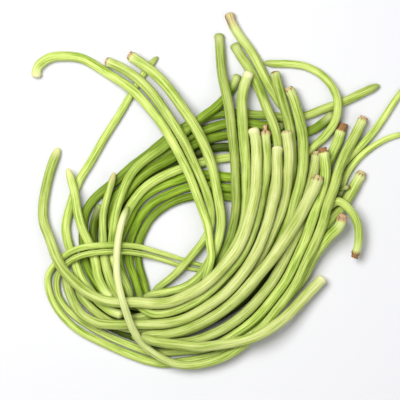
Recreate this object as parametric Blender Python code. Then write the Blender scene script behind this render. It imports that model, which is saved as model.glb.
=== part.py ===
"""A bunch of yardlong beans lying in a loose coil, each pod a solid of its own.

Every pod's route is drawn as it is seen from above, in millimetres on the square of table that
the bunch covers: across from the left edge, then down from the back edge, from the stem end to
the tip. The pods are laid one after another, the lowest first, and are then eased down until
they rest on the table and on each other, each clear of its neighbours by a small gap.
"""

import math

import bmesh
import bpy
import numpy as np
from mathutils import Matrix, Vector

MM = 0.001
TINY = 1e-9

# The middle of the drawn square's bunch; the finished bunch is centred exactly at the end.
MIDDLE_ACROSS = 220.4
MIDDLE_DOWN = 190.6

# The section of a pod, the spacing of its rings, and the points per span of its drawn curve.
SIDES = 8
RING_STEP = 17.0
CURVE_POINTS = 12
END_STEPS = (2.5, 8.0)
FLAT = math.cos(math.pi / SIDES)

# A pod thins towards its tip, and its ends are drawn in.
THINNING_CURVE = 1.4
STEM_FACE = 0.62
STEM_SHOULDER = 0.86
TIP_FACE = 0.34
TIP_SHOULDER = 0.72
STEM_BULGE = 0.5
TIP_BULGE = 1.2
POLE_LOWEST = 0.2

# How the pods are laid: the gap they are given, and how far one may drop between two rings.
CLEARANCE = 0.55
LAY_STEP = 9.0
LAY_PIECES = 4

# How the pods settle: rounds of easing, then of clearing, until every gap is the least one.
EASE_ROUNDS = 900
CLEAR_ROUNDS = 500
LEAST_GAP = 0.3
SINK = 0.12
HOLD_PLACE = 0.03
FAIR_PLACE = 0.45
FAIR_HEIGHT = 0.18
FOLLOW_ENDS = 0.5
PARTINGS = 3
PART_SHARE = 0.72
REACH = 30.0
LOOK_AGAIN = 10

# Each pod: its name, its thickness near the stem and near the tip, and its route from stem to tip.
PODS = (
    ("pod_under_outer", 9.6, 8.0, (
        (322, 205), (315, 228), (304, 250), (290, 272), (273, 294), (252, 314), (228, 329), (202, 338),
        (175, 342), (148, 341), (122, 333), (100, 321),
    )),
    ("pod_under_front", 9.6, 8.0, (
        (306, 188), (300, 212), (290, 235), (276, 257), (259, 279), (239, 299), (216, 315), (190, 324),
        (163, 327), (136, 324), (114, 316), (100, 305), (91, 292),
    )),
    ("pod_under_middle", 9.4, 8.0, (
        (283, 186), (277, 210), (267, 233), (253, 255), (236, 276), (216, 293), (193, 305), (168, 312),
        (143, 312), (120, 304), (102, 292),
    )),
    ("pod_under_inner", 9.0, 7.6, (
        (264, 196), (256, 220), (244, 243), (229, 264), (211, 281), (190, 294), (170, 301),
    )),
    ("pod_under_back", 9.4, 8.0, (
        (301, 153), (282, 152), (264, 151), (246, 149), (229, 147), (212, 148), (196, 153), (180, 161),
        (165, 170), (151, 180), (139, 191), (130, 204), (124, 218), (121, 233),
    )),
    ("pod_under_left", 9.2, 7.6, (
        (103, 206), (97, 217), (94, 229), (94, 241), (96, 254), (101, 266), (109, 279), (120, 292),
        (132, 303),
    )),
    ("pod_far_right", 9.6, 8.6, (
        (114, 302), (106, 296), (98, 285), (91, 273), (87, 260), (85, 246), (85, 231), (87, 217),
        (94, 204), (106, 192), (120, 182), (134, 171), (147, 161), (159, 151), (171, 141), (184, 131),
        (198, 122), (215, 115), (232, 113), (250, 114), (275, 115), (300, 117), (318, 114), (335, 108),
        (350, 101), (365, 94), (380, 87),
    )),
    ("pod_inner_low", 8.6, 7.6, (
        (252, 198), (233, 196), (215, 193), (198, 194), (184, 197), (170, 203), (156, 212), (145, 223),
        (137, 237), (134, 251), (135, 265), (138, 279), (144, 292), (151, 303),
    )),
    ("pod_inner", 9.0, 8.4, (
        (262, 188), (244, 189), (226, 188), (208, 186), (192, 187), (176, 191), (161, 198), (148, 206),
        (138, 217), (131, 229), (127, 242), (126, 256), (127, 271), (131, 286), (138, 304),
    )),
    ("pod_fan_low", 10.6, 8.4, (
        (285, 180), (268, 182), (250, 182), (232, 181), (216, 178), (200, 176), (184, 177), (168, 181),
        (153, 188), (141, 197), (132, 208), (125, 220), (121, 233), (119, 247), (119, 262), (122, 277),
        (128, 291), (136, 305),
    )),
    ("pod_fan_high", 10.6, 9.0, (
        (284, 126), (268, 124), (250, 123), (232, 123), (214, 127), (197, 134), (181, 144), (166, 155),
        (152, 165), (139, 175), (127, 186), (117, 196), (110, 207), (105, 219), (102, 232), (101, 246),
        (103, 260), (107, 274), (113, 287), (121, 299),
    )),
    ("pod_fan_middle", 9.4, 8.2, (
        (334, 113), (320, 125), (305, 134), (288, 137), (270, 138), (250, 136), (230, 135), (212, 140),
        (196, 147), (181, 155), (166, 163), (151, 171), (139, 181), (130, 193), (123, 206), (118, 220),
        (115, 234),
    )),
    ("pod_arched", 9.6, 7.8, (
        (119, 226), (124, 212), (131, 200), (141, 190), (154, 181), (168, 174), (182, 169), (198, 164),
        (214, 160), (232, 158), (250, 162), (270, 166), (288, 164), (303, 158), (315, 148), (326, 137),
        (334, 125), (338, 112), (337, 100), (333, 88), (325, 77), (313, 69), (298, 65), (280, 64),
        (265, 63),
    )),
    ("pod_short_back", 9.6, 8.4, (
        (240, 76), (235, 87), (229, 97), (222, 106), (212, 114), (201, 121), (190, 130), (178, 139),
        (165, 147), (153, 156), (143, 165), (133, 177), (126, 190), (120, 204), (116, 218), (113, 232),
        (112, 247), (113, 262), (116, 276), (121, 290), (128, 304),
    )),
    ("pod_left_inner", 9.4, 7.4, (
        (124, 304), (119, 298), (114, 287), (109, 274), (105, 260), (104, 245), (105, 230), (106, 215),
        (108, 200), (111, 187), (115, 174),
    )),
    ("pod_far_left", 10.4, 6.6, (
        (128, 311), (115, 306), (103, 295), (90, 284), (79, 266), (72, 250), (67, 232), (69, 214), (74, 196),
        (80, 180), (92, 160), (105, 138), (118, 116), (132, 93), (140, 79), (148, 67), (157, 57),
    )),
    ("pod_left_short", 10.0, 8.6, (
        (115, 300), (106, 284), (101, 268), (96, 253), (90, 240), (83, 226), (79, 212), (77, 198),
        (74, 184), (69, 170),
    )),
    ("pod_right_long", 10.4, 6.0, (
        (307, 250), (315, 234), (323, 217), (329, 201), (333, 187), (338, 174), (347, 162), (358, 151),
        (370, 139), (380, 126), (390, 111), (399, 98), (407, 86),
    )),
    ("pod_right_thin", 7.6, 5.2, (
        (332, 197), (337, 184), (343, 171), (352, 160), (364, 150), (377, 142), (391, 136), (406, 133),
    )),
    ("pod_right_brown", 11.4, 9.0, (
        (343, 129), (340, 141), (335, 153), (330, 165), (327, 178), (323, 192), (317, 207), (310, 222),
        (302, 237),
    )),
    ("pod_right_stub", 11.4, 9.0, (
        (357, 171), (350, 181), (343, 191), (335, 202), (327, 214), (318, 227), (309, 240),
    )),
    ("pod_hooked", 8.8, 9.2, (
        (355, 257), (358, 247), (359, 236), (356, 224), (350, 213), (342, 205), (333, 204), (325, 211),
        (318, 223), (310, 238), (301, 253), (291, 267), (281, 280),
    )),
    ("pod_right_stalk", 4.6, 4.6, (
        (353, 190), (342, 194), (332, 200), (323, 209), (315, 221),
    )),
    ("pod_pair_upper", 10.2, 9.0, (
        (229, 14), (233, 26), (241, 39), (251, 52), (260, 65), (267, 78), (274, 91), (281, 103),
        (286, 114),
    )),
    ("pod_pair_lower", 10.2, 9.0, (
        (235, 43), (243, 56), (250, 69), (256, 82), (262, 96), (267, 111), (272, 126), (276, 142),
        (276, 160), (274, 178), (270, 197), (264, 216), (257, 234), (248, 251), (237, 267), (226, 280),
        (212, 292), (197, 302), (181, 309),
    )),
    ("pod_back_right", 10.6, 8.6, (
        (275, 72), (278, 86), (283, 101), (287, 116), (290, 132), (291, 150), (291, 170), (289, 190),
        (286, 208), (281, 226), (274, 243), (265, 259), (254, 274), (242, 288), (229, 300), (212, 310),
        (194, 317),
    )),
    ("pod_back_far", 11.2, 8.8, (
        (287, 90), (293, 104), (297, 119), (300, 135), (301, 152), (300, 171), (298, 190), (295, 209),
        (289, 227), (280, 244), (269, 260), (257, 275), (245, 290), (232, 303), (217, 314), (200, 323),
        (182, 330), (164, 333), (147, 332),
    )),
    ("pod_pale_right", 10.8, 8.6, (
        (286, 131), (288, 145), (289, 160), (288, 177), (286, 195), (282, 213), (276, 231), (268, 248),
        (258, 264), (247, 278), (235, 291), (221, 302), (205, 312), (188, 320), (170, 327), (152, 332),
        (134, 331), (117, 325), (104, 316), (93, 306), (84, 296), (79, 286),
    )),
    ("pod_upright_left", 10.2, 8.8, (
        (219, 34), (220, 50), (222, 70), (225, 90), (229, 110), (233, 130), (236, 150), (238, 170),
        (238, 190), (238, 210), (236, 228), (232, 244), (225, 258), (215, 271), (203, 285), (190, 298),
        (175, 307), (159, 313), (143, 311), (128, 305),
    )),
    ("pod_upright", 11.2, 8.8, (
        (250, 72), (245, 86), (243, 101), (243, 120), (244, 140), (246, 160), (247, 180), (247, 200),
        (245, 218), (240, 236), (232, 252), (221, 267), (209, 281), (196, 294), (182, 304), (167, 311),
        (150, 316), (132, 317),
    )),
    ("pod_pink_end", 10.2, 8.6, (
        (268, 131), (268, 146), (269, 161), (268, 176), (266, 191), (263, 206), (259, 221), (254, 236),
        (247, 250), (238, 264), (227, 277), (215, 290), (201, 302), (186, 311), (170, 316), (156, 317),
        (144, 311), (134, 303),
    )),
    ("pod_wide_coil", 11.2, 9.8, (
        (281, 147), (281, 165), (279, 183), (275, 201), (271, 220), (265, 238), (257, 255), (248, 270),
        (237, 284), (224, 297), (209, 307), (193, 315), (176, 321), (158, 325), (139, 325), (120, 324),
        (102, 322), (89, 317), (80, 307), (75, 296), (71, 285), (69, 275),
    )),
    ("pod_bright_coil", 11.8, 9.8, (
        (253, 129), (256, 141), (258, 156), (258, 171), (257, 186), (255, 201), (252, 216), (247, 231),
        (241, 245), (233, 257), (223, 268), (211, 279), (199, 289), (184, 298), (167, 303), (149, 304),
        (130, 303), (112, 301), (96, 296), (82, 287), (71, 276), (62, 264), (56, 251), (51, 238),
        (46, 225), (44, 210), (45, 195), (48, 180), (53, 164), (59, 149),
    )),
    ("pod_yellow", 11.6, 9.4, (
        (316, 152), (314, 166), (311, 181), (307, 196), (303, 211), (299, 227), (294, 242), (288, 256),
        (281, 270), (272, 284), (262, 297), (250, 310), (236, 321), (220, 330), (203, 335), (186, 337),
        (168, 335), (150, 332), (134, 328),
    )),
    ("pod_broad", 12.6, 9.2, (
        (320, 179), (316, 192), (309, 206), (301, 219), (292, 232), (283, 245), (273, 258), (262, 271),
        (250, 285), (237, 298), (223, 309), (208, 319), (192, 327), (175, 332), (157, 335), (142, 335),
    )),
    ("pod_loop_inner", 10.8, 4.6, (
        (326, 152), (328, 166), (328, 181), (325, 197), (320, 212), (314, 228), (308, 242), (301, 256),
        (294, 270), (286, 283), (276, 296), (265, 309), (253, 321), (240, 332), (226, 342), (210, 349),
        (192, 351), (175, 351), (158, 350), (142, 347), (126, 342), (110, 337), (95, 331), (81, 324),
        (70, 315), (62, 305), (57, 295), (55, 284), (57, 274), (64, 265), (75, 257), (89, 252),
        (105, 250), (122, 250), (138, 252), (154, 256), (167, 261), (180, 266), (193, 269), (206, 271),
    )),
    ("pod_loop_outer", 10.8, 4.6, (
        (336, 211), (330, 221), (321, 231), (314, 244), (308, 257), (302, 271), (294, 284), (285, 297),
        (274, 310), (262, 322), (249, 333), (234, 343), (217, 351), (200, 356), (183, 359), (166, 361),
        (149, 359), (132, 353), (115, 345), (98, 337), (83, 329), (69, 318), (59, 307), (53, 296),
        (50, 284), (52, 272), (59, 262), (71, 253), (86, 248), (103, 246), (122, 246), (140, 248),
        (156, 252), (171, 257), (184, 262), (198, 266), (212, 269),
    )),
    ("pod_front", 11.4, 10.0, (
        (323, 277), (314, 287), (304, 297), (293, 308), (280, 319), (266, 328), (250, 336), (234, 341),
        (217, 344), (200, 345), (183, 343), (167, 341), (153, 338), (142, 334),
    )),
    ("pod_white_streak", 10.4, 7.0, (
        (364, 119), (357, 132), (350, 146), (343, 160), (337, 174), (332, 189), (327, 204), (322, 218),
        (316, 232), (310, 246), (303, 261), (296, 276), (288, 291), (278, 306), (266, 321), (253, 335),
        (239, 347), (224, 356), (207, 362), (190, 364), (174, 361), (160, 354), (149, 345), (141, 334),
        (134, 321), (129, 308), (124, 294), (120, 280), (118, 265), (118, 250), (120, 237), (122, 225),
        (125, 214), (128, 207),
    )),
    ("pod_crossing_low", 10.4, 7.4, (
        (106, 62), (120, 68), (133, 76), (145, 87), (156, 100), (166, 114), (175, 128), (184, 143),
        (193, 160), (201, 176), (208, 192), (213, 207), (213, 221), (208, 235), (199, 248), (189, 260),
        (176, 273), (163, 284), (151, 293),
    )),
    ("pod_crossing_right", 11.2, 8.4, (
        (131, 56), (144, 65), (157, 76), (169, 89), (180, 103), (190, 119), (199, 135), (206, 150),
        (211, 166), (214, 182), (216, 198), (218, 214), (219, 230), (218, 246), (214, 260), (207, 273),
        (198, 284), (186, 291), (172, 294), (158, 296), (146, 299),
    )),
    ("pod_crossing_top", 10.2, 8.0, (
        (37, 77), (38, 68), (45, 60), (57, 56), (70, 56), (83, 58), (96, 64), (109, 72), (122, 81),
        (136, 92), (149, 105), (161, 120), (170, 134), (179, 151), (187, 168), (194, 184), (200, 200),
        (205, 216), (209, 231), (211, 246), (212, 260), (209, 272), (205, 283),
    )),
)

# Where a pod still goes over one that is laid after it: the upper one, the lower one, and the place.
GOES_OVER = (
    ("pod_front", "pod_white_streak", (262, 328)),
    ("pod_bright_coil", "pod_crossing_right", (211, 277)),
    ("pod_bright_coil", "pod_crossing_top", (208, 277)),
    ("pod_bright_coil", "pod_crossing_right", (160, 298)),
    ("pod_crossing_low", "pod_crossing_right", (157, 293)),
)
GOES_OVER_REACH = 32.0

# The skins, each a colour and a roughness, and the pods that aren't the fresh green.
SKINS = {
    "skin_fresh": ((0.42, 0.54, 0.13, 1.0), 0.45),
    "skin_pale": ((0.60, 0.68, 0.28, 1.0), 0.45),
    "skin_deep": ((0.21, 0.33, 0.06, 1.0), 0.5),
}
PALE_PODS = (
    "pod_white_streak", "pod_bright_coil", "pod_wide_coil", "pod_yellow", "pod_broad", "pod_pale_right",
)
DEEP_PODS = (
    "pod_under_outer", "pod_under_front", "pod_under_middle", "pod_under_inner", "pod_under_back",
    "pod_under_left", "pod_far_right", "pod_short_back", "pod_fan_high", "pod_fan_middle",
    "pod_fan_low", "pod_inner", "pod_inner_low", "pod_upright_left", "pod_back_right",
    "pod_right_stalk",
)


def curve_through(points):
    """A smooth curve through the points, by the centripetal Catmull-Rom rule."""
    points = [np.array(p, float) for p in points]
    points = [2 * points[0] - points[1], *points, 2 * points[-1] - points[-2]]
    curve = []
    for a, b, c, d in zip(points, points[1:], points[2:], points[3:]):
        ta = 0.0
        tb = ta + math.sqrt(np.linalg.norm(b - a))
        tc = tb + math.sqrt(np.linalg.norm(c - b))
        td = tc + math.sqrt(np.linalg.norm(d - c))
        for t in np.linspace(tb, tc, CURVE_POINTS, endpoint=False):
            ab = (tb - t) / (tb - ta) * a + (t - ta) / (tb - ta) * b
            bc = (tc - t) / (tc - tb) * b + (t - tb) / (tc - tb) * c
            cd = (td - t) / (td - tc) * c + (t - tc) / (td - tc) * d
            abc = (tc - t) / (tc - ta) * ab + (t - ta) / (tc - ta) * bc
            bcd = (td - t) / (td - tb) * bc + (t - tb) / (td - tb) * cd
            curve.append((tc - t) / (tc - tb) * abc + (t - tb) / (tc - tb) * bcd)
    curve.append(points[-2])
    return np.array(curve)


def stations_along(length):
    """Distances from the stem end at which a pod has its rings."""
    first, last = END_STEPS[-1], length - END_STEPS[-1]
    spans = max(2, round((last - first) / RING_STEP))
    inner = np.linspace(first, last, spans + 1)
    ends = [length - step for step in reversed(END_STEPS[:-1])]
    return np.array([0.0, *END_STEPS[:-1], *inner, *ends, length])


def radii_along(stations, stem_thickness, tip_thickness):
    """The pod's radius at each station, in millimetres."""
    along = stations / stations[-1]
    radii = (stem_thickness + (tip_thickness - stem_thickness) * along**THINNING_CURVE) / 2
    radii[0] *= STEM_FACE
    radii[1] *= STEM_SHOULDER
    radii[-1] *= TIP_FACE
    radii[-2] *= TIP_SHOULDER
    return radii


class Pod:
    """One pod: its drawn route read at even stations, and the place of each station."""

    def __init__(self, name, stem_thickness, tip_thickness, route):
        self.name = name
        curve = curve_through([(x - MIDDLE_ACROSS, MIDDLE_DOWN - y) for x, y in route])
        walked = np.concatenate([[0], np.cumsum(np.linalg.norm(np.diff(curve, axis=0), axis=1))])
        stations = stations_along(walked[-1])
        self.radii = radii_along(stations, stem_thickness, tip_thickness)
        self.drawn = np.column_stack([np.interp(stations, walked, curve[:, k]) for k in (0, 1)])
        self.floor = self.radii * FLAT
        self.place = np.column_stack([self.drawn, self.floor])


def near_place(points, place):
    """Which of the points lie within reach of a place on the drawn square."""
    x, y = place[0] - MIDDLE_ACROSS, MIDDLE_DOWN - place[1]
    return np.hypot(points[:, 0] - x, points[:, 1] - y) < GOES_OVER_REACH


def lay(pod, below):
    """Raises a pod's stations just over every pod that is already down, with a gentle slope."""
    uppers = [(other, place) for other in below for place in places_over(other, pod)]
    others = []
    for other in below:
        points = densely(other)
        for upper, place in uppers:
            if upper is other:
                points = points[~near_place(points, place)]
        others.append(points)
    rest_on(pod, others, np.ones(len(pod.place), bool))
    for upper, place in uppers:
        rest_on(upper, [densely(pod)], near_place(upper.place, place))


def places_over(upper, lower):
    """Where the upper pod goes over the lower one although it is laid first."""
    return [place for over, under, place in GOES_OVER if (over, under) == (upper.name, lower.name)]


def rest_on(pod, others, chosen):
    """Raises a pod's chosen stations over the others' points, and slopes it down on both sides."""
    points = np.concatenate([np.empty((0, 4)), *others])
    for index in np.nonzero(chosen)[0]:
        x, y, _ = pod.place[index]
        across = np.hypot(points[:, 0] - x, points[:, 1] - y)
        apart = points[:, 3] + pod.radii[index] + CLEARANCE
        near = across < apart
        if near.any():
            lift = points[near, 2] + np.sqrt(apart[near] ** 2 - across[near] ** 2)
            pod.place[index, 2] = max(pod.place[index, 2], lift.max())
    steps = np.linalg.norm(np.diff(pod.drawn, axis=0), axis=1)
    walked = np.concatenate([[0], np.cumsum(steps)])
    gaps = np.abs(walked[:, None] - walked[None, :])
    pod.place[:, 2] = (pod.place[None, :, 2] - LAY_STEP * np.maximum(0, gaps / RING_STEP - 1)).max(1)
    pod.place[:, 2] = np.maximum(pod.place[:, 2], pod.floor)


def densely(pod):
    """Points and radii along a pod, close enough together to lay another pod on."""
    parts = []
    rows = np.column_stack([pod.place, pod.radii])
    for a, b in zip(rows, rows[1:]):
        for k in range(LAY_PIECES):
            parts.append(a + (b - a) * k / LAY_PIECES)
    parts.append(rows[-1])
    return np.array(parts)


class Bunch:
    """All the pods' stations in one table, so that contacts are found for every pair at once."""

    def __init__(self, pods):
        self.pods = pods
        self.place = np.concatenate([pod.place for pod in pods])
        self.drawn = np.concatenate([pod.drawn for pod in pods])
        self.radii = np.concatenate([pod.radii for pod in pods])
        self.floor = np.concatenate([pod.floor for pod in pods])
        ends = np.cumsum([0] + [len(pod.place) for pod in pods])
        self.spans = list(zip(ends, ends[1:]))
        self.start = np.concatenate([np.arange(a, b - 1) for a, b in self.spans])
        self.owner = np.concatenate([np.full(b - a - 1, k) for k, (a, b) in enumerate(self.spans)])
        inner = np.zeros(len(self.place), bool)
        for a, b in self.spans:
            inner[a + 1 : b - 1] = True
        self.inner = np.nonzero(inner)[0]
        starts, stops = np.array(self.spans).T
        self.ends = np.concatenate([starts, starts + 1, stops - 1, stops - 2])
        self.near = np.concatenate([starts + 2, starts + 2, stops - 3, stops - 3])
        self.far = np.concatenate([starts + 3, starts + 3, stops - 4, stops - 4])
        self.find_neighbours()

    def find_neighbours(self):
        """Pairs of stretches, on different pods, that are near enough to touch."""
        middles = (self.place[self.start] + self.place[self.start + 1]) / 2
        apart = np.linalg.norm(middles[:, None, :] - middles[None, :, :], axis=2)
        close = (apart < REACH) & (self.owner[:, None] < self.owner[None, :])
        first, second = np.nonzero(close)
        self.first, self.second = self.start[first], self.start[second]

    def contacts(self):
        """For each pair: the nearest points' shares along both stretches, and how far apart they are."""
        p, q = self.place[self.first], self.place[self.second]
        d1, d2 = self.place[self.first + 1] - p, self.place[self.second + 1] - q
        r = p - q
        a, e, b = (d1 * d1).sum(1), (d2 * d2).sum(1), (d1 * d2).sum(1)
        c, f = (d1 * r).sum(1), (d2 * r).sum(1)
        span = a * e - b * b
        s = np.clip((b * f - c * e) / np.maximum(span, TINY), 0, 1)
        t = np.clip((b * s + f) / e, 0, 1)
        s = np.clip((b * t - c) / a, 0, 1)
        away = r + d1 * s[:, None] - d2 * t[:, None]
        return s, t, away, np.linalg.norm(away, axis=1)

    def thickness(self, first, share):
        """The radius part of the way along each stretch."""
        return self.radii[first] * (1 - share) + self.radii[first + 1] * share

    def least_gap(self):
        """The smallest gap between any two pods."""
        s, t, _, distance = self.contacts()
        return (distance - self.thickness(self.first, s) - self.thickness(self.second, t)).min()

    def part_pods(self):
        """Moves stretches that are too near each other apart, along the line between them."""
        s, t, away, distance = self.contacts()
        short = self.thickness(self.first, s) + self.thickness(self.second, t) + CLEARANCE - distance
        hit = short > 0
        push = away[hit] * (short[hit] / np.maximum(distance[hit], TINY) * PART_SHARE)[:, None]
        s, t = s[hit], t[hit]
        moved = np.zeros_like(self.place)
        count = np.zeros(len(self.place))
        for index, weight, sign in (
            (self.first[hit], 1 - s, 1),
            (self.first[hit] + 1, s, 1),
            (self.second[hit], 1 - t, -1),
            (self.second[hit] + 1, t, -1),
        ):
            for axis in range(3):
                moved[:, axis] += np.bincount(index, push[:, axis] * weight * sign, len(self.place))
            count += np.bincount(index, weight, len(self.place))
        self.place += moved / np.maximum(count, 1)[:, None]
        self.place[:, 2] = np.maximum(self.place[:, 2], self.floor)

    def fair(self):
        """Evens out the sideways shifts and the heights along each pod, and keeps its ends in line."""
        shift = self.place[:, :2] - self.drawn
        middle = (shift[self.inner - 1] + shift[self.inner + 1]) / 2
        self.place[self.inner, :2] += FAIR_PLACE * (middle - shift[self.inner])
        height = self.place[:, 2]
        middle = (height[self.inner - 1] + height[self.inner + 1]) / 2
        self.place[self.inner, 2] += FAIR_HEIGHT * (middle - height[self.inner])
        self.place[self.ends, :2] += FOLLOW_ENDS * (shift[self.near] - shift[self.ends])
        span = np.linalg.norm(self.drawn[self.near] - self.drawn[self.far], axis=1)
        reach = np.linalg.norm(self.drawn[self.ends] - self.drawn[self.near], axis=1)
        aim = height[self.near] + (height[self.near] - height[self.far]) * reach / span
        self.place[self.ends, 2] += FOLLOW_ENDS * (aim - height[self.ends])

    def settle(self):
        """Lets the pods sink, each near its drawn route, and then clears what still touches."""
        for step in range(EASE_ROUNDS):
            self.place[:, 2] -= SINK
            self.place[:, :2] += HOLD_PLACE * (self.drawn - self.place[:, :2])
            self.fair()
            if step % LOOK_AGAIN == 0:
                self.find_neighbours()
            for _ in range(PARTINGS):
                self.part_pods()
        for step in range(CLEAR_ROUNDS):
            if step % LOOK_AGAIN == 0:
                self.find_neighbours()
                if self.least_gap() > LEAST_GAP:
                    break
            self.part_pods()
        for pod, (a, b) in zip(self.pods, self.spans):
            pod.place = self.place[a:b]


def skin_of(name):
    """The name of a pod's skin."""
    if name in PALE_PODS:
        return "skin_pale"
    return "skin_deep" if name in DEEP_PODS else "skin_fresh"


def skin_material(name, colour, roughness):
    material = bpy.data.materials.new(name)
    material.use_nodes = True
    shader = material.node_tree.nodes["Principled BSDF"]
    shader.inputs["Base Color"].default_value = colour
    shader.inputs["Roughness"].default_value = roughness
    shader.inputs["Metallic"].default_value = 0.0
    return material


def build_pod(pod, material):
    """A closed tube of flat-bottomed rings through the pod's stations, with a low cone on each end."""
    places = [Vector(p) * MM for p in pod.place]
    mesh = bmesh.new()
    rings = []
    for index, centre in enumerate(places):
        ahead = places[min(index + 1, len(places) - 1)]
        behind = places[max(index - 1, 0)]
        along = (ahead - behind).normalized()
        side = along.cross(Vector((0, 0, 1))).normalized()
        up = side.cross(along)
        ring = []
        for k in range(SIDES):
            angle = 2 * math.pi * (k + 0.5) / SIDES
            out = side * math.cos(angle) + up * math.sin(angle)
            ring.append(mesh.verts.new(centre + out * pod.radii[index] * MM))
        rings.append(ring)
    for ring, after in zip(rings, rings[1:]):
        for k in range(SIDES):
            mesh.faces.new((ring[k - 1], ring[k], after[k], after[k - 1]))
    for ring, inward, bulge in ((rings[0], 1, STEM_BULGE), (rings[-1], -2, TIP_BULGE)):
        end = places[0] if inward == 1 else places[-1]
        outwards = (end - places[inward]).normalized()
        top = end + outwards * bulge * MM
        top.z = max(top.z, POLE_LOWEST * MM)
        pole = mesh.verts.new(top)
        for k in range(SIDES):
            mesh.faces.new((ring[k - 1], ring[k], pole))
    bmesh.ops.recalc_face_normals(mesh, faces=mesh.faces)
    bmesh.ops.triangulate(mesh, faces=mesh.faces)
    data = bpy.data.meshes.new(pod.name)
    mesh.to_mesh(data)
    mesh.free()
    data.materials.append(material)
    data.shade_smooth()
    solid = bpy.data.objects.new(pod.name, data)
    bpy.context.scene.collection.objects.link(solid)
    return solid


def centre_bunch(solids):
    """Puts the origin on the table under the middle of the bunch."""
    corners = np.array([vertex.co for solid in solids for vertex in solid.data.vertices])
    low, high = corners.min(0), corners.max(0)
    move = Matrix.Translation((-(low[0] + high[0]) / 2, -(low[1] + high[1]) / 2, 0))
    for solid in solids:
        solid.data.transform(move)


def main():
    for left_over in list(bpy.data.objects):
        bpy.data.objects.remove(left_over)
    pods = []
    for name, stem_thickness, tip_thickness, route in PODS:
        pod = Pod(name, stem_thickness, tip_thickness, route)
        lay(pod, pods)
        pods.append(pod)
    bunch = Bunch(pods)
    bunch.settle()
    skins = {name: skin_material(name, *finish) for name, finish in SKINS.items()}
    centre_bunch([build_pod(pod, skins[skin_of(pod.name)]) for pod in pods])


main()
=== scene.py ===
"""Dresses a bunch of yardlong beans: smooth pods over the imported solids, with seeds, seams and skin.

Each packed pod is a coarse tube of eight-sided rings. A finished pod is a fine tube along the same
middle line, drawn out ring by ring, swollen over its seeds and ridged along its two seams. The
bunch lies on a plain white table under soft light, seen from straight above.
"""

import math
import random

import bmesh
import bpy
import numpy as np
from bpy.props import FloatProperty, FloatVectorProperty, IntProperty, PointerProperty
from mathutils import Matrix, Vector


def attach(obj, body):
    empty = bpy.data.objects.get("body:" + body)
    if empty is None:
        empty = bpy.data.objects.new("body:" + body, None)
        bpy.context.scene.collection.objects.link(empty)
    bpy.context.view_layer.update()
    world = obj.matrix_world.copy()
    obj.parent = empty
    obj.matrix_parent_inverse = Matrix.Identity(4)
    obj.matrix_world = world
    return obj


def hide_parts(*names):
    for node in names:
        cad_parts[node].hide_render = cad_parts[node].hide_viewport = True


bl_info = {
    "name": "Yardlong Bean Bunch",
    "version": (1, 0, 0),
    "blender": (4, 5, 0),
    "location": "3D View > Sidebar > Beans",
    "description": "Pods, skins and a table for a coiled bunch of yardlong beans",
    "category": "Object",
}

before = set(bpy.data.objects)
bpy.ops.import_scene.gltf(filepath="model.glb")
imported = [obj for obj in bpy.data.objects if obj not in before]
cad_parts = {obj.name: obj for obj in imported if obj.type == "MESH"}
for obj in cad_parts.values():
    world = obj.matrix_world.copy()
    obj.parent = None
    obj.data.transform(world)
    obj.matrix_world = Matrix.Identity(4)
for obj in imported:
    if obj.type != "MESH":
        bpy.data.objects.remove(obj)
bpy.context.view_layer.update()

MM = 0.001

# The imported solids' rings, as the part's source makes them.
PACKED_SIDES = 8
PACKED_END_RINGS = 2
MERGE_DISTANCE = 1e-5

# The rings of a finished pod stand closer together near its ends: millimetres from the end.
END_SPACING = (0.0, 0.25, 0.7, 1.3, 2.0, 2.8, 3.8, 5.0, 6.5)

# Slow waves along a pod, each given as its length in metres divided by two pi: the sway from side
# to side, the changes of thickness, and the roll of the seams to and fro by an angle in radians.
SWAY_WAVES = (0.0085, 0.013)
THICKNESS_WAVES = (0.021, 0.034)
ROLL_WAVES = (0.09,)
ROLL_ANGLE = 0.5
LATEST_START = 6.0

# Seeds lie at uneven steps. Each swells the pod over a share of a step, and less at the seams.
SEED_STEPS = (0.8, 1.25)
SEED_LENGTH = 0.34
MEAN_SWELL = 0.5
SWELL_AT_SEAMS = 0.55

# How an end is drawn in: how square its rounding is, and the share of the radius left at its face.
STEM_ROUNDNESS = 2.0
STEM_FACE = 0.4
TIP_ROUNDNESS = 1.7
TIP_FACE = 0.18

# Stem ends that were snapped off cleanly. The others have dried: their collar is thicker, and two
# sets of lumps run round it at a slant.
SMOOTH_ENDS = ("green", "cream")
DRY_COLLAR = 2
FIRST_LUMPS, SECOND_LUMPS = 3, 5
SECOND_SLANT = 1.7

# A stub of stalk: its flare at the foot, its frayed end and its bend, as shares of its size.
STALK_FLARE = 0.2
STALK_FRAY = 0.2
STALK_BEND = 0.35
FIRST_FRAYS, SECOND_FRAYS = 3, 4
FRAY_TWIST = 5

# A pod's skin starts at a place of its own, up to this many metres along the noises.
SKIN_START = 5.0

# The photograph's frame on the table: its width and its middle, in metres.
PICTURE_WIDTH = 0.400
PICTURE_MIDDLE = (-0.0204, -0.0095, 0.010)


# Shape


class Look:
    """How one pod is finished: its skin, how light it is, its two ends and its tail half.

    The reach of the stem end's colour and the length of its stub of stalk are in millimetres.
    """

    def __init__(
        self,
        node,
        skin,
        tone=1.0,
        stem="green",
        stem_reach=5.0,
        tip="green",
        tail=None,
        tail_share=0.75,
        line=0.4,
        stalk=0.0,
        stalk_share=0.75,
    ):
        self.node = node
        self.skin = skin
        self.tone = tone
        self.stem = stem
        self.stem_reach = stem_reach
        self.tip = tip
        self.tail = tail or skin
        self.tail_share = tail_share
        self.line = line
        self.stalk = stalk * MM
        self.stalk_share = stalk_share
        self.dried = stem not in SMOOTH_ENDS


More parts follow.
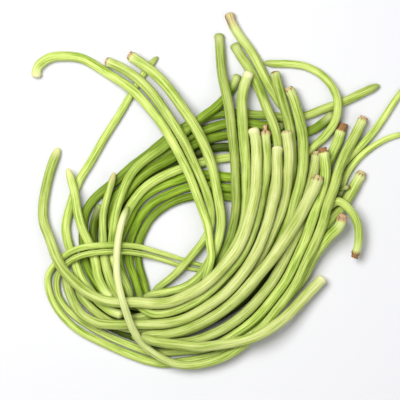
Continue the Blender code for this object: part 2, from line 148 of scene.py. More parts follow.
# The lowest pods are turned down to 0.3 and 0.5 of the deep green: painted shade, for the shade that falls on
# them under the bunch.
UNDER_PODS = (
    Look("pod_under_outer", "deep", 0.3),
    Look("pod_under_front", "deep", 0.3),
    Look("pod_under_middle", "deep", 0.3),
    Look("pod_under_inner", "deep", 0.3),
    Look("pod_under_back", "deep", 0.3),
    Look("pod_under_left", "deep", 0.5),
)
FAN_PODS = (
    Look("pod_inner_low", "deep", 1.0),
    Look("pod_inner", "deep", 1.3),
    Look("pod_fan_low", "deep", 1.35),
    Look("pod_fan_middle", "deep", 0.95),
    Look("pod_fan_high", "deep", 1.0),
    Look("pod_far_right", "deep", 1.0, tail="fresh", tail_share=0.55),
    Look("pod_short_back", "deep", 1.15, tail="fresh", tail_share=0.9),
    Look("pod_arched", "fresh", 1.1),
)
LEFT_PODS = (
    Look("pod_left_inner", "fresh", 1.0, tip="tan"),
    Look("pod_far_left", "fresh", 1.12),
    Look("pod_left_short", "fresh", 1.12, tip="yellow"),
)
RIGHT_PODS = (
    Look("pod_right_long", "fresh", 1.15),
    Look("pod_right_thin", "fresh", 1.2),
    Look("pod_right_brown", "fresh", 1.05, "brown", 3.0, stalk=4.5, stalk_share=0.8),
    Look("pod_right_stub", "fresh", 1.05, "tan", 4.5, stalk=1.5),
    Look("pod_right_stalk", "deep", 0.9, "brown", 3.0),
    Look("pod_hooked", "fresh", 1.05, "brown", 6.0, stalk=2.0),
    Look("pod_front", "pale", 0.9, "cream", 5.0, tail="fresh"),
)
UPRIGHT_PODS = (
    Look("pod_pair_upper", "fresh", 1.0, "tan", 15.0),
    Look("pod_pair_lower", "fresh", 0.92),
    Look("pod_back_right", "fresh", 0.85, "brown", 2.5),
    Look("pod_back_far", "fresh", 0.95, "tan", 4.0, stalk=1.5),
    Look("pod_pale_right", "pale", 0.9, "tan", 3.0, tail="fresh"),
    Look("pod_upright_left", "fresh", 0.8, tail="deep"),
    Look("pod_upright", "fresh", 0.95, "cream", 7.0),
    Look("pod_pink_end", "fresh", 0.95, "pink", 5.0, stalk=5.5, stalk_share=0.42),
)
COIL_PODS = (
    Look("pod_wide_coil", "pale", 0.86, "cream", 4.0, tail="fresh"),
    Look("pod_bright_coil", "pale", 0.9, "cream", 6.0, "yellow", tail="fresh"),
    Look("pod_yellow", "pale", 0.84, "tan", 3.0, tail="fresh", stalk=1.5),
    Look("pod_broad", "pale", 0.85, "tan", 4.0, tail="fresh", stalk=2.0),
)
LOOP_PODS = (
    Look("pod_loop_inner", "fresh", 1.08, "brown", 3.0, line=0.8, stalk=3.0),
    Look("pod_loop_outer", "fresh", 1.08, "pink", 5.0, line=0.8, stalk=2.0),
    Look("pod_white_streak", "fresh", 0.95, "pink", 5.0, tail="white", tail_share=0.5, stalk=1.5),
)
CROSSING_PODS = (
    Look("pod_crossing_low", "fresh", 1.02, "pink", 3.0, line=0.6),
    Look("pod_crossing_right", "fresh", 1.04, "pink", 3.0, stalk=1.5),
    Look("pod_crossing_top", "fresh", 1.15, "cream", 5.0, line=0.6),
)


def packed_rings(node):
    """A packed pod's stem end, the middle and radius of each ring after it, and its tip."""
    packed = bmesh.new()
    packed.from_mesh(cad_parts[node].data)
    bmesh.ops.remove_doubles(packed, verts=packed.verts, dist=MERGE_DISTANCE)
    points = np.array([vertex.co for vertex in packed.verts])
    packed.free()
    apart = np.linalg.norm(points[:, None] - points[None], axis=2)
    near = np.argsort(apart, axis=1)[:, 1 : PACKED_SIDES + 1]
    near_apart = np.take_along_axis(apart, near, axis=1)
    tops = np.argsort(np.ptp(near_apart, axis=1) / near_apart.mean(1))[:2]
    rise = [np.linalg.norm(points[top] - points[near[top]].mean(0)) for top in tops]
    stem, tip = tops if rise[0] < rise[1] else tops[::-1]
    free = np.ones(len(points), bool)
    free[[stem, tip]] = False
    here = points[stem]
    middles, radii = [], []
    while free.sum() >= PACKED_SIDES:
        distance = np.where(free, np.linalg.norm(points - here, axis=1), np.inf)
        ring = np.argsort(distance)[:PACKED_SIDES]
        free[ring] = False
        here = points[ring].mean(0)
        middles.append(here)
        radii.append(np.linalg.norm(points[ring] - here, axis=1).mean())
    if free.any():
        raise RuntimeError(f"{node} has {int(free.sum())} corners outside its rings")
    return points[stem], np.array(middles), np.array(radii), points[tip]


def curve_at(knots, values, where):
    """A smooth curve through the values at the knots, read at each place in where."""
    slopes = np.gradient(values, knots, axis=0)
    span = np.clip(np.searchsorted(knots, where, side="right") - 1, 0, len(knots) - 2)
    width = (knots[span + 1] - knots[span])[:, None]
    t = (where[:, None] - knots[span][:, None]) / width
    start = values[span] * (2 * t**3 - 3 * t**2 + 1) + slopes[span] * width * (t**3 - 2 * t**2 + t)
    end = values[span + 1] * (3 * t**2 - 2 * t**3) + slopes[span + 1] * width * (t**3 - t**2)
    return start + end


def cap_share(distance, length, roundness, face):
    """How much of the full radius a drawn-in end has at a distance from it."""
    rest = 1 - np.clip(distance / length, 0, 1)
    return face + (1 - face) * (1 - rest**roundness) ** (1 / roundness)


def waves(along, lengths, chance):
    """Slow waves along a pod, each with a start of its own, added up."""
    return sum(np.sin(along / length + chance.uniform(0, LATEST_START)) for length in lengths)


class Route:
    """A pod's middle line, radius and own directions at each of its fine rings."""

    def __init__(self, node, ring_step, wave_height):
        chance = random.Random(node + "_route")
        stem, middles, radii, tip = packed_rings(node)
        inner = slice(PACKED_END_RINGS, -PACKED_END_RINGS)
        points = np.array([stem, *middles[inner], tip])
        knots = np.concatenate([[0], np.cumsum(np.linalg.norm(np.diff(points, axis=0), axis=1))])
        self.length = knots[-1]
        ends = np.array(END_SPACING) * MM
        count = max(2, round((self.length - 2 * ends[-1]) / ring_step))
        body = np.linspace(ends[-1], self.length - ends[-1], count + 1)
        self.along = np.concatenate([ends[:-1], body, (self.length - ends[:-1])[::-1]])
        drawn = curve_at(knots, points, self.along)
        thickness = np.array([radii[inner][0], *radii[inner], radii[inner][-1]])
        self.radius = np.interp(self.along, knots, thickness)
        ahead = np.gradient(drawn, self.along, axis=0)
        self.ahead = ahead / np.linalg.norm(ahead, axis=1)[:, None]
        side = np.cross(self.ahead, (0.0, 0.0, 1.0))
        self.side = side / np.linalg.norm(side, axis=1)[:, None]
        self.up = np.cross(self.side, self.ahead)
        sway = wave_height * waves(self.along, SWAY_WAVES, chance)
        self.middle = drawn + self.side * sway[:, None]


def draw_tube(name, rings, sides):
    """A closed tube drawn out ring by ring; its corners know their ring and their turn round it."""
    tube = bmesh.new()
    ring_layer = tube.verts.layers.int.new("ring")
    turn_layer = tube.verts.layers.float.new("turn")
    hub_layer = tube.verts.layers.int.new("hub")
    bmesh.ops.create_circle(tube, segments=sides, radius=1.0)
    for vertex in tube.verts:
        vertex[turn_layer] = math.atan2(vertex.co.y, vertex.co.x)
    edges = list(tube.edges)
    for index in range(1, rings):
        drawn = bmesh.ops.extrude_edge_only(tube, edges=edges)["geom"]
        corners = {item for item in drawn if isinstance(item, bmesh.types.BMVert)}
        for vertex in corners:
            vertex[ring_layer] = index
        edges = [
            item
            for item in drawn
            if isinstance(item, bmesh.types.BMEdge) and corners.issuperset(item.verts)
        ]
    open_edges = [edge for edge in tube.edges if edge.is_boundary]
    caps = bmesh.ops.holes_fill(tube, edges=open_edges, sides=0)["faces"]
    ends = [face.verts[0][ring_layer] for face in caps]
    hubs = bmesh.ops.poke(tube, faces=caps)["verts"]
    for vertex, end in zip(hubs, ends):
        vertex[hub_layer] = 1
        vertex[ring_layer] = end
    for face in tube.faces:
        face.smooth = True
    mesh = bpy.data.meshes.new(name)
    tube.to_mesh(mesh)
    tube.free()
    return mesh


def read_layer(mesh, name, kind):
    values = np.zeros(len(mesh.vertices), kind)
    mesh.attributes[name].data.foreach_get("value", values)
    mesh.attributes.remove(mesh.attributes[name])
    return values


def tube_layers(mesh):
    """Each corner's ring, its turn round the tube, and whether it is the middle of an end."""
    ring = read_layer(mesh, "ring", np.int32)
    turn = read_layer(mesh, "turn", np.float32).astype(float)
    hub = read_layer(mesh, "hub", np.int32).astype(bool)
    return ring, turn, hub


def write_layer(mesh, name, columns):
    layer = mesh.attributes.new(name, "FLOAT_VECTOR", "POINT")
    layer.data.foreach_set("vector", np.column_stack(columns).astype(np.float32).ravel())


def set_places(mesh, places):
    """Moves the corners to their places, and none of them below the table top."""
    places[:, 2] = np.maximum(places[:, 2], 0.0)
    mesh.vertices.foreach_set("co", places.astype(np.float32).ravel())


def near_end(distance, reach):
    """One at no distance, falling to nought at reach."""
    return np.clip(1 - distance / reach, 0, 1)


def near_angle(turn, middle, width):
    """One at an angle and falling away to both sides of it."""
    off = (turn - middle + math.pi) % (2 * math.pi) - math.pi
    return np.exp(-((off / width) ** 2))


def seed_places(length, spacing, chance):
    """Where the seeds lie along a pod, at slightly uneven steps."""
    places = []
    at = spacing
    while at < length - spacing:
        places.append(at)
        at += spacing * chance.uniform(*SEED_STEPS)
    return np.array(places)


def skin_share(along, own_turn, seam, length, settings, chance):
    """How far out the skin lies over the seeds, seams and ribs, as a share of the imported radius."""
    seeds = seed_places(length, settings.seed_spacing, chance)
    off_seed = (along[:, None] - seeds[None]) / (settings.seed_spacing * SEED_LENGTH)
    swell = np.exp(-(off_seed**2)).sum(1) - MEAN_SWELL
    swell *= SWELL_AT_SEAMS + (1 - SWELL_AT_SEAMS) * np.abs(np.sin(own_turn))
    return (
        settings.fullness
        + settings.seam_height * seam
        + settings.rib_height * np.cos(settings.ribs * own_turn)
        + settings.seed_swell * swell
        + settings.unevenness * waves(along, THICKNESS_WAVES, chance)
    )


def stem_share(along, own_turn, dried, settings):
    """What the collar, the neck and a dry end's lumps add to that share."""
    collar = near_end(np.abs(along - settings.stem_round), settings.stem_round)
    collar *= settings.collar_height * (DRY_COLLAR if dried else 1)
    neck = near_end(np.abs(along - settings.neck_place), settings.neck_place - settings.stem_round)
    lumps = np.sin(FIRST_LUMPS * own_turn + along / MM)
    lumps *= np.sin(SECOND_LUMPS * own_turn - SECOND_SLANT * along / MM)
    lumps *= near_end(along, settings.collar_reach) * dried
    return collar - settings.neck_depth * neck + settings.end_roughness * lumps


def shape_pod(look, settings):
    """The finished pod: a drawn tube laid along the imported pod's middle line."""
    chance = random.Random(look.node)
    route = Route(look.node, settings.ring_step, settings.wave_height)
    mesh = draw_tube(look.node + "_skin", len(route.along), settings.sides)
    ring, turn, hub = tube_layers(mesh)

    along = route.along[ring]
    from_tip = route.length - along
    own_turn = turn + chance.uniform(0, 2 * math.pi) + ROLL_ANGLE * waves(along, ROLL_WAVES, chance)
    seam = near_angle(own_turn, 0.0, settings.seam_width)
    seam += near_angle(own_turn, math.pi, settings.seam_width)
    share = skin_share(along, own_turn, seam, route.length, settings, chance)
    share += stem_share(along, own_turn, look.dried, settings)
    share *= cap_share(along, settings.stem_round, STEM_ROUNDNESS, STEM_FACE)
    share *= cap_share(from_tip, settings.tip_round, TIP_ROUNDNESS, TIP_FACE)
    share[hub] = 0.0

    across = route.radius[ring]
    out = route.side[ring] * np.cos(turn)[:, None] + route.up[ring] * np.sin(turn)[:, None]
    places = route.middle[ring] + out * (across * share)[:, None]
    places[hub & (ring == 0)] += route.ahead[0] * settings.stem_hollow
    set_places(mesh, places)

    skin_along = along + chance.uniform(0, SKIN_START)
    write_layer(mesh, "skin_place", [np.cos(own_turn) * across, np.sin(own_turn) * across, skin_along])
    write_layer(mesh, "skin_reach", [along, from_tip, seam])
    mesh.update()
    return join_shells([mesh, shape_stalk(look, route, settings)] if look.stalk else [mesh])


def shape_stalk(look, route, settings):
    """The dried stub of stalk, or of the flower, that is left on a pod's stem end."""
    chance = random.Random(look.node + "_stalk")
    mesh = draw_tube(look.node + "_stalk", settings.stalk_rings, settings.stalk_sides)
    ring, turn, hub = tube_layers(mesh)
    share = ring / (settings.stalk_rings - 1)
    reach = share * (look.stalk + settings.stem_round) - settings.stem_round
    frayed = np.sin(FIRST_FRAYS * turn + chance.uniform(0, LATEST_START))
    frayed *= STALK_FRAY * np.sin(SECOND_FRAYS * turn + FRAY_TWIST * share) * share
    radius = route.radius[0] * (look.stalk_share + STALK_FLARE * (1 - share) ** 2 + frayed)
    radius[hub] = 0.0
    bend = chance.uniform(-STALK_BEND, STALK_BEND) * share * look.stalk
    out = route.side[0] * np.cos(turn)[:, None] + route.up[0] * np.sin(turn)[:, None]
    places = route.middle[0] - route.ahead[0] * (reach + look.stalk * frayed)[:, None]
    places += out * radius[:, None] + route.side[0] * bend[:, None]
    set_places(mesh, places)
    write_layer(mesh, "skin_place", [np.cos(turn) * radius, np.sin(turn) * radius, -reach])
    write_layer(mesh, "skin_reach", [-reach, route.length + reach, 0 * reach])
    mesh.update()
    return mesh


def join_shells(meshes):
    """The closed shells as one mesh, with every face turned outwards."""
    mesh = meshes[0]
    shell = bmesh.new()
    for part in meshes:
        shell.from_mesh(part)
    bmesh.ops.recalc_face_normals(shell, faces=shell.faces)
    shell.to_mesh(mesh)
    shell.free()
    return mesh


# Skin

# Noises on a pod's own directions: how far each is drawn out, its fineness and its detail.
STREAKS = ((1.0, 1.0, 0.04), 700.0, 4.0)
RIPPLES = ((0.16, 0.16, 1.0), 800.0, 3.0)
PATCHES = ((1.0, 1.0, 1.0), 38.0, 3.0)
GRAIN = ((1.0, 1.0, 1.0), 2600.0, 2.0)
NOISE_ROUGHNESS = 0.6

# The streaks' share of the pattern, where the three greens lie on it, and how light a seam is.
# The streaks also raise the relief, so their dark greens are partly painted shade in its grooves and their
# light greens partly painted highlight on its ridges.
STREAK_SHARE = 0.8
DARK_AT, MIDDLE_AT, LIGHT_AT = 0.38, 0.5, 0.64
SEAM_LIGHTNESS = 0.4

# The dark line along one seam, in metres off the seam, and how the patches break it up.
LINE_CORE = 0.15 * MM
LINE_EDGE = 0.6 * MM
LINE_BREAKS = 2.0

# How far the ends' colours reach, in metres, or in steps of a look's own reach at the stem end.
TIP_REACH = 16.0 * MM
RAGGEDNESS = 10.0 * MM
PALE_STEPS = (1.0, 3.5)
PALE_SHARE = 0.45
STEM_STEPS = (0.4, 1.2)
SCAR_AT, DRY_AT = 0.38, 0.5

# Small brown marks: how close together they lie, their core and edge, and how strong they are.
SPECK_FINENESS = 130.0
SPECK_CORE = 0.035
SPECK_EDGE = 0.075
SPECK_SHARE = 0.5

# The sheen: roughness from place to place along the streaks' noise, and how much a skin mirrors.
SMOOTH_AT, ROUGH_AT = 0.3, 0.7
SMOOTHEST = 0.38
ROUGHEST = 0.6
SHEEN = 0.12

# The relief: the shares of its parts next to the streaks, and its strength and depth.
RIPPLE_SHARE = 0.8
GRAIN_SHARE = 0.3
LINE_SHARE = 0.5
RELIEF_STRENGTH = 0.55
RELIEF_DEPTH = 0.3 * MM


class Nodes:
    """A short way to build a material's nodes."""

    def __init__(self, material):
        material.use_nodes = True
        self.tree = material.node_tree
        self.shader = self.tree.nodes["Principled BSDF"]

    def add(self, kind, values=None, links=None, **settings):
        node = self.tree.nodes.new(kind)
        for name, value in settings.items():
            setattr(node, name, value)
        for name, value in (values or {}).items():
            node.inputs[name].default_value = value
        for name, socket in (links or {}).items():
            self.tree.links.new(socket, node.inputs[name])
        return node

    def link(self, socket, name):
        self.tree.links.new(socket, self.shader.inputs[name])

    def ramp(self, socket, stops):
        """Colours or greys along a value from 0 to 1."""
        node = self.add("ShaderNodeValToRGB", links={"Fac": socket})
        elements = node.color_ramp.elements
        for position, colour in stops[2:]:
            elements.new(position)
        for element, (position, colour) in zip(elements, sorted(stops)):
            element.position = position
            element.color = colour
        return node.outputs["Color"]

    def mix(self, amount, first, second):
        """The first colour going over to the second as amount goes from 0 to 1."""
        node = self.add("ShaderNodeMix", data_type="RGBA")
        self.tree.links.new(amount, node.inputs["Factor"])
        for socket, name in ((first, "A"), (second, "B")):
            inlet = next(i for i in node.inputs if i.name == name and i.type == "RGBA")
            if isinstance(socket, bpy.types.NodeSocket):
                self.tree.links.new(socket, inlet)
            else:
                inlet.default_value = socket
        return next(o for o in node.outputs if o.type == "RGBA")

    def math(self, operation, first, second):
        node = self.add("ShaderNodeMath", operation=operation)
        for index, value in enumerate((first, second)):
            if isinstance(value, bpy.types.NodeSocket):
                self.tree.links.new(value, node.inputs[index])
            else:
                node.inputs[index].default_value = value
        return node.outputs["Value"]

    def fade(self, socket, start, end):
        """One at start, falling smoothly to nought at end."""
        values = {"From Min": start, "From Max": end, "To Min": 1.0, "To Max": 0.0}
        node = self.add("ShaderNodeMapRange", values, {"Value": socket}, interpolation_type="SMOOTHSTEP")
        return node.outputs["Result"]


def opaque(colour, tone=1.0):
    """A colour with its brightness changed, and alpha 1."""
    return (*(min(1.0, channel * tone) for channel in colour), 1.0)


class SkinFields:
    """What every skin's nodes share: where a point is on its pod, and the noises that streak it."""

    def __init__(self, nodes):
        self.place = nodes.add("ShaderNodeAttribute", attribute_name="skin_place").outputs["Vector"]
        place = nodes.add("ShaderNodeSeparateXYZ", links={"Vector": self.place})
        self.seam_side, self.off_seam = place.outputs["X"], place.outputs["Y"]
        reach = nodes.add("ShaderNodeAttribute", attribute_name="skin_reach").outputs["Vector"]
        reach = nodes.add("ShaderNodeSeparateXYZ", links={"Vector": reach})
        self.from_stem, self.from_tip, self.seam = (reach.outputs[name] for name in "XYZ")
        self.streaks = self.noise(nodes, *STREAKS)
        self.ripples = self.noise(nodes, *RIPPLES)
        self.patches = self.noise(nodes, *PATCHES)
        self.grain = self.noise(nodes, *GRAIN)

    def noise(self, nodes, scale, fineness, detail):
        """A noise on the pod's own directions, drawn out by scale."""
        mapping = nodes.add("ShaderNodeMapping", {"Scale": scale}, {"Vector": self.place})
        values = {"Scale": fineness, "Detail": detail, "Roughness": NOISE_ROUGHNESS}
        return nodes.add("ShaderNodeTexNoise", values, {"Vector": mapping.outputs["Vector"]}).outputs["Fac"]


def streaked_green(nodes, fields, skins, skin, tone):
    """Dark to light green of one skin, by the streaks and the slow patches: darker in the relief's grooves
    and lighter on its ridges, partly painted shade and painted highlight.
    """
    parts = (getattr(skins, f"{skin}_{part}") for part in ("dark", "middle", "light"))
    dark, middle, light = (opaque(part, tone) for part in parts)
    streaks = nodes.math("MULTIPLY", fields.streaks, STREAK_SHARE)
    blend = nodes.math("ADD", streaks, nodes.math("MULTIPLY", fields.patches, 1 - STREAK_SHARE))
    colour = nodes.ramp(blend, ((DARK_AT, dark), (LIGHT_AT, light), (MIDDLE_AT, middle)))
    return nodes.mix(nodes.math("MULTIPLY", fields.seam, SEAM_LIGHTNESS), colour, light)


def pod_green(nodes, fields, skins, look):
    """The pod's own green, going over to its tail's green towards the tip."""
    colour = streaked_green(nodes, fields, skins, look.skin, look.tone)
    if look.tail == look.skin:
        return colour
    tail = streaked_green(nodes, fields, skins, look.tail, look.tone)
    length = nodes.math("ADD", fields.from_stem, fields.from_tip)
    share = nodes.math("DIVIDE", fields.from_tip, length)
    return nodes.mix(nodes.fade(share, 0.0, look.tail_share), colour, tail)


def dark_seam(nodes, fields):
    """One on the line along one of the two seams, and nought away from it."""
    line = nodes.fade(nodes.math("ABSOLUTE", fields.off_seam, 0.0), LINE_CORE, LINE_EDGE)
    return nodes.math("MULTIPLY", line, nodes.math("GREATER_THAN", fields.seam_side, 0.0))


def colour_ends(nodes, fields, skins, look, colour):
    """The colours of the tip and of the stem end, which is pale next to its broken face."""
    tip_zone = nodes.fade(fields.from_tip, 0.0, TIP_REACH)
    colour = nodes.mix(tip_zone, colour, opaque(getattr(skins, look.tip + "_end")))

    unevenness = nodes.math("MULTIPLY", nodes.math("SUBTRACT", fields.patches, 0.5), RAGGEDNESS)
    ragged = nodes.math("ADD", fields.from_stem, unevenness)
    pale_zone = nodes.fade(ragged, *(step * look.stem_reach * MM for step in PALE_STEPS))
    pale_zone = nodes.math("MULTIPLY", pale_zone, PALE_SHARE)
    colour = nodes.mix(pale_zone, colour, opaque(skins.pale_light, look.tone))

    stem_zone = nodes.fade(ragged, *(step * look.stem_reach * MM for step in STEM_STEPS))
    stem = opaque(getattr(skins, look.stem + "_end"))
    if look.dried:
        stem = nodes.ramp(fields.streaks, ((SCAR_AT, opaque(skins.scar)), (DRY_AT, stem)))
    return nodes.mix(stem_zone, colour, stem)


def speckle(nodes, fields, skins, colour):
    """Small brown marks strewn over the skin."""
    values = {"Scale": SPECK_FINENESS, "Randomness": 1.0}
    marks = nodes.add("ShaderNodeTexVoronoi", values, {"Vector": fields.place})
    specks = nodes.fade(marks.outputs["Distance"], SPECK_CORE, SPECK_EDGE)
    return nodes.mix(nodes.math("MULTIPLY", specks, SPECK_SHARE), colour, opaque(skins.speck))


def skin_relief(nodes, fields, line):
    """Fine streaks, ripples across the patches, grain and a sunken seam line."""
    ripples = nodes.math("MULTIPLY", fields.ripples, RIPPLE_SHARE)
    height = nodes.math("ADD", fields.streaks, nodes.math("MULTIPLY", ripples, fields.patches))
    height = nodes.math("ADD", height, nodes.math("MULTIPLY", fields.grain, GRAIN_SHARE))
    height = nodes.math("SUBTRACT", height, nodes.math("MULTIPLY", line, LINE_SHARE))
    values = {"Strength": RELIEF_STRENGTH, "Distance": RELIEF_DEPTH}
    return nodes.add("ShaderNodeBump", values, {"Height": height}).outputs["Normal"]


def pod_skin(look, skins):
    """Waxy green skin with streaks, a dark seam line, specks, and its own colours at both ends."""
    material = bpy.data.materials.new("skin_of_" + look.node)
    nodes = Nodes(material)
    fields = SkinFields(nodes)
    colour = pod_green(nodes, fields, skins, look)
    line = dark_seam(nodes, fields)
    broken = nodes.math("MULTIPLY", nodes.math("MULTIPLY", fields.patches, LINE_BREAKS), look.line)
    colour = nodes.mix(nodes.math("MULTIPLY", line, broken), colour, opaque(skins.seam_line))
    colour = colour_ends(nodes, fields, skins, look, colour)
    nodes.link(speckle(nodes, fields, skins, colour), "Base Color")

    smooth, rough = ((share, share, share, 1.0) for share in (SMOOTHEST, ROUGHEST))
    nodes.link(nodes.ramp(fields.streaks, ((SMOOTH_AT, smooth), (ROUGH_AT, rough))), "Roughness")
    nodes.link(skin_relief(nodes, fields, line), "Normal")
    nodes.shader.inputs["Specular IOR Level"].default_value = SHEEN
    return material


def dress(looks, context):
    """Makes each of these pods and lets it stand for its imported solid."""
    settings = context.scene.bean_shape
    skins = context.scene.bean_skins
    for look in looks:
        mesh = shape_pod(look, settings)
        mesh.materials.append(pod_skin(look, skins))
        pod = bpy.data.objects.new(look.node + "_finished", mesh)
        context.scene.collection.objects.link(pod)
        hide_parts(look.node)
        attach(pod, "root")


# Settings


def length_setting(name, description, default):
    return FloatProperty(name=name, description=description, default=default, min=0.0, unit="LENGTH")


def share_setting(name, description, default):
    return FloatProperty(name=name, description=description, default=default, min=0.0, max=2.0)


def colour_setting(name, description, default):
    return FloatVectorProperty(
        name=name, description=description, default=default, size=3, min=0.0, max=1.0, subtype="COLOR"
    )


class BeanShapeSettings(bpy.types.PropertyGroup):
    """The build of a finished pod."""

    sides: IntProperty(name="Sides", description="Faces round a pod", default=36, min=8)
    ring_step: length_setting("Ring step", "Distance between two rings of a pod", 0.002)
    fullness: share_setting("Fullness", "Share of the packed radius that the skin lies at", 0.965)
    seam_height: share_setting("Seam height", "How far a seam stands up, as a share of the radius", 0.016)
    seam_width: share_setting("Seam width", "Half the angle that a seam takes, in radians", 0.16)
    ribs: IntProperty(name="Ribs", description="Fine ribs round a pod", default=9, min=0)
    rib_height: share_setting("Rib height", "How far a rib stands up, as a share of the radius", 0.008)
    wave_height: length_setting("Wave height", "How far a pod sways from side to side", 0.00022)
    seed_spacing: length_setting("Seed spacing", "Distance between two seeds", 0.0135)
    seed_swell: share_setting("Seed swell", "How far a seed swells the pod, as a share of the radius", 0.035)
    unevenness: share_setting("Unevenness", "Slow changes of thickness, as a share of the radius", 0.014)
    stem_round: length_setting("Stem rounding", "Length over which the stem end is rounded", 0.0035)
    tip_round: length_setting("Tip rounding", "Length over which the tip is drawn in", 0.010)
    collar_height: share_setting("Collar height", "Swelling of the stem end, as a share of the radius", 0.035)
    collar_reach: length_setting("Collar reach", "How far a dry stem end is rough", 0.006)
    end_roughness: share_setting("End roughness", "Lumps of a dry stem end, as a share of the radius", 0.09)
    stem_hollow: length_setting("Stem hollow", "How deep the broken face of a stem end lies", 0.0007)
    neck_place: length_setting("Neck place", "Where a pod is narrowest behind its stem end", 0.009)
    neck_depth: share_setting("Neck depth", "How much narrower the neck is, as a share of the radius", 0.045)
    stalk_rings: IntProperty(name="Stalk rings", description="Rings along a stub of stalk", default=9, min=3)
    stalk_sides: IntProperty(name="Stalk sides", description="Faces round a stub of stalk", default=14, min=5)


class BeanSkinSettings(bpy.types.PropertyGroup):
    """The colours of the pods."""

    # The light greens are partly painted highlight on the skin's ridges, and the dark greens partly painted
    # shade in its grooves.
    fresh_light: colour_setting("Fresh, light", "Streaks of a fresh pod", (0.57, 0.64, 0.21))
    fresh_middle: colour_setting("Fresh, middle", "Body of a fresh pod", (0.40, 0.50, 0.11))
    fresh_dark: colour_setting("Fresh, dark", "Shaded streaks of a fresh pod", (0.17, 0.27, 0.018))
    pale_light: colour_setting("Pale, light", "Streaks of a pale pod", (0.69, 0.72, 0.33))
    pale_middle: colour_setting("Pale, middle", "Body of a pale pod", (0.54, 0.61, 0.19))
    pale_dark: colour_setting("Pale, dark", "Shaded streaks of a pale pod", (0.33, 0.42, 0.065))
    # The deep greens are partly the own colour of pods that lie low in the bunch and partly painted shade,
    # for the shade that falls on them there.
    deep_light: colour_setting("Deep, light", "Streaks of a deep green pod", (0.28, 0.385, 0.05))
    deep_middle: colour_setting("Deep, middle", "Body of a deep green pod", (0.16, 0.25, 0.013))
    deep_dark: colour_setting("Deep, dark", "Shaded streaks of a deep green pod", (0.06, 0.11, 0.004))
    white_light: colour_setting("White, light", "Streaks of a whitish pod", (0.74, 0.75, 0.45))
    white_middle: colour_setting("White, middle", "Body of a whitish pod", (0.66, 0.69, 0.32))
    white_dark: colour_setting("White, dark", "Shaded streaks of a whitish pod", (0.52, 0.58, 0.20))
    green_end: colour_setting("Green end", "An end that stayed green", (0.31, 0.38, 0.10))
    cream_end: colour_setting("Cream end", "A freshly broken stem end", (0.68, 0.66, 0.36))
    pink_end: colour_setting("Pink end", "A drying cut stem end", (0.54, 0.36, 0.19))
    tan_end: colour_setting("Tan end", "A dry stem end", (0.54, 0.46, 0.21))
    brown_end: colour_setting("Brown end", "A withered end", (0.31, 0.16, 0.06))
    yellow_end: colour_setting("Yellow end", "A ripe tip", (0.62, 0.62, 0.26))
    scar: colour_setting("Scar", "Dark marks on a dry end", (0.12, 0.05, 0.025))
    seam_line: colour_setting("Seam line", "The thin line along a pod's seam", (0.11, 0.14, 0.025))
    speck: colour_setting("Specks", "Small brown marks", (0.16, 0.11, 0.04))


class BeanStageSettings(bpy.types.PropertyGroup):
    """The table, the light and the camera."""

    table_colour: colour_setting("Table", "The white table top", (0.62, 0.62, 0.635))
    table_width: length_setting("Table width", "Width of the table top", 8.0)
    camera_height: length_setting("Camera height", "Height of the camera over the bunch", 2.5)
    sky: share_setting("Sky light", "Strength of the light from all round", 0.34)
    key: FloatProperty(name="Key light", description="Power of the soft light", default=46.0, unit="POWER")
    fill: FloatProperty(name="Fill light", description="Power of the second light", default=5.0, unit="POWER")


# Operators


class BEANS_OT_under_pods(bpy.types.Operator):
    """Makes the pods that lie lowest, under the coil, darkened with painted shade"""

    bl_idname = "beans.under_pods"
    bl_label = "Under Pods"

    def execute(self, context):
        dress(UNDER_PODS, context)
        return {"FINISHED"}


class BEANS_OT_fan_pods(bpy.types.Operator):
    """Makes the deep green pods that fan out underneath, their green partly painted shade, and the one that
    arches over to the back
    """

    bl_idname = "beans.fan_pods"
    bl_label = "Fan Pods"

    def execute(self, context):
        dress(FAN_PODS, context)
        return {"FINISHED"}


class BEANS_OT_left_pods(bpy.types.Operator):
    """Makes the pods whose tips stand up along the left side"""

    bl_idname = "beans.left_pods"
    bl_label = "Left Pods"

    def execute(self, context):
        dress(LEFT_PODS, context)
        return {"FINISHED"}


class BEANS_OT_right_pods(bpy.types.Operator):
    """Makes the short, thin and hooked pods of the right side"""

    bl_idname = "beans.right_pods"
    bl_label = "Right Pods"

    def execute(self, context):
        dress(RIGHT_PODS, context)
        return {"FINISHED"}


class BEANS_OT_upright_pods(bpy.types.Operator):
    """Makes the pods whose stem ends point to the back"""

    bl_idname = "beans.upright_pods"
    bl_label = "Upright Pods"

    def execute(self, context):
        dress(UPRIGHT_PODS, context)
        return {"FINISHED"}


class BEANS_OT_coil_pods(bpy.types.Operator):
    """Makes the thick pale pods that curl round the front"""

    bl_idname = "beans.coil_pods"
    bl_label = "Coil Pods"

    def execute(self, context):
        dress(COIL_PODS, context)
        return {"FINISHED"}


class BEANS_OT_loop_pods(bpy.types.Operator):
    """Makes the long pods that loop all the way round"""

    bl_idname = "beans.loop_pods"
    bl_label = "Loop Pods"

    def execute(self, context):
        dress(LOOP_PODS, context)
        return {"FINISHED"}


class BEANS_OT_crossing_pods(bpy.types.Operator):
    """Makes the pods that cross over the bunch from the back left"""

    bl_idname = "beans.crossing_pods"
    bl_label = "Crossing Pods"

    def execute(self, context):
        dress(CROSSING_PODS, context)
        return {"FINISHED"}


# Stage

# Where the two lights hang and how wide they are, in metres.
KEY_PLACE = (-0.6, 0.45, 1.75)
FILL_PLACE = (0.8, -0.5, 1.3)
LIGHT_WIDTH = 1.0

# The table top's squares each way, its sheen and its faint clouds.
TABLE_SQUARES = 8
TABLE_ROUGHNESS = 0.6
CLOUD_FINENESS = 3.0
CLOUD_DETAIL = 2.0
CLOUD_STARTS, CLOUD_ENDS = 0.3, 0.7
CLOUD_TONE = 0.985

# How far the camera sees, in metres.
SIGHT = 50.0


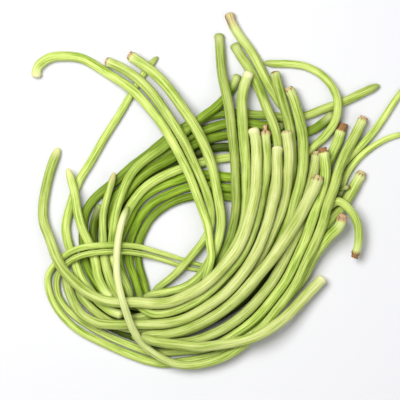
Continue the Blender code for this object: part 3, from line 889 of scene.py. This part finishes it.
def soft_light(context, name, place, power, target):
    """A square soft light that points at the target."""
    data = bpy.data.lights.new(name, "AREA")
    data.shape = "SQUARE"
    data.size = LIGHT_WIDTH
    data.energy = power
    lamp = bpy.data.objects.new(name, data)
    lamp.location = place
    lamp.rotation_euler = (target - Vector(place)).to_track_quat("-Z", "Y").to_euler()
    context.scene.collection.objects.link(lamp)


def add_table(context, settings):
    """The flat white table top that the bunch lies on."""
    top = bmesh.new()
    half = settings.table_width / 2
    bmesh.ops.create_grid(top, x_segments=TABLE_SQUARES, y_segments=TABLE_SQUARES, size=half)
    mesh = bpy.data.meshes.new("table_top")
    top.to_mesh(mesh)
    top.free()
    mesh.materials.append(table_material(settings.table_colour))
    table = bpy.data.objects.new("table_top", mesh)
    context.scene.collection.objects.link(table)


def table_material(colour):
    """Smooth white board with a very faint unevenness."""
    material = bpy.data.materials.new("white_table")
    nodes = Nodes(material)
    place = nodes.add("ShaderNodeTexCoord").outputs["Object"]
    values = {"Scale": CLOUD_FINENESS, "Detail": CLOUD_DETAIL}
    cloud = nodes.add("ShaderNodeTexNoise", values, {"Vector": place}).outputs["Fac"]
    stops = ((CLOUD_STARTS, opaque(colour, CLOUD_TONE)), (CLOUD_ENDS, opaque(colour)))
    nodes.link(nodes.ramp(cloud, stops), "Base Color")
    nodes.shader.inputs["Roughness"].default_value = TABLE_ROUGHNESS
    return material


def add_room(context, settings, target):
    """White light from all round, and two soft lights."""
    world = bpy.data.worlds.new("white_room")
    world.use_nodes = True
    background = world.node_tree.nodes["Background"]
    background.inputs["Color"].default_value = (1, 1, 1, 1)
    background.inputs["Strength"].default_value = settings.sky
    context.scene.world = world
    soft_light(context, "key_light", KEY_PLACE, settings.key, target)
    soft_light(context, "fill_light", FILL_PLACE, settings.fill, target)


def add_camera(context, settings, target):
    """A camera straight above the target, that sees the photograph's width of the table."""
    data = bpy.data.cameras.new("camera")
    data.lens = data.sensor_width * settings.camera_height / PICTURE_WIDTH
    data.clip_end = SIGHT
    camera = bpy.data.objects.new("camera", data)
    camera.location = target + Vector((0, 0, settings.camera_height))
    context.scene.collection.objects.link(camera)
    context.scene.camera = camera


class BEANS_OT_stage(bpy.types.Operator):
    """Makes the white table, the soft light and the camera straight above"""

    bl_idname = "beans.stage"
    bl_label = "Table, Light and Camera"

    def execute(self, context):
        settings = context.scene.bean_stage
        target = Vector(PICTURE_MIDDLE)
        add_table(context, settings)
        add_room(context, settings, target)
        add_camera(context, settings, target)
        context.scene.view_settings.view_transform = "Standard"
        return {"FINISHED"}


PIECES = (
    BEANS_OT_under_pods,
    BEANS_OT_fan_pods,
    BEANS_OT_left_pods,
    BEANS_OT_right_pods,
    BEANS_OT_upright_pods,
    BEANS_OT_coil_pods,
    BEANS_OT_loop_pods,
    BEANS_OT_crossing_pods,
    BEANS_OT_stage,
)


class BEANS_PT_bunch(bpy.types.Panel):
    """Lists the bunch's settings and its makers"""

    bl_label = "Bean Bunch"
    bl_idname = "BEANS_PT_bunch"
    bl_space_type = "VIEW_3D"
    bl_region_type = "UI"
    bl_category = "Beans"

    def draw(self, context):
        for group in (context.scene.bean_shape, context.scene.bean_skins, context.scene.bean_stage):
            column = self.layout.column()
            for name in group.__annotations__:
                column.prop(group, name)
        for operator in PIECES:
            self.layout.operator(operator.bl_idname)


CLASSES = (BeanShapeSettings, BeanSkinSettings, BeanStageSettings, *PIECES, BEANS_PT_bunch)


def register():
    for item in CLASSES:
        bpy.utils.register_class(item)
    bpy.types.Scene.bean_shape = PointerProperty(type=BeanShapeSettings)
    bpy.types.Scene.bean_skins = PointerProperty(type=BeanSkinSettings)
    bpy.types.Scene.bean_stage = PointerProperty(type=BeanStageSettings)


def unregister():
    del bpy.types.Scene.bean_stage
    del bpy.types.Scene.bean_skins
    del bpy.types.Scene.bean_shape
    for item in reversed(CLASSES):
        bpy.utils.unregister_class(item)


def main():
    register()
    bpy.ops.beans.under_pods()
    bpy.ops.beans.fan_pods()
    bpy.ops.beans.left_pods()
    bpy.ops.beans.right_pods()
    bpy.ops.beans.upright_pods()
    bpy.ops.beans.coil_pods()
    bpy.ops.beans.loop_pods()
    bpy.ops.beans.crossing_pods()
    bpy.ops.beans.stage()


if __name__ == "__main__":
    main()
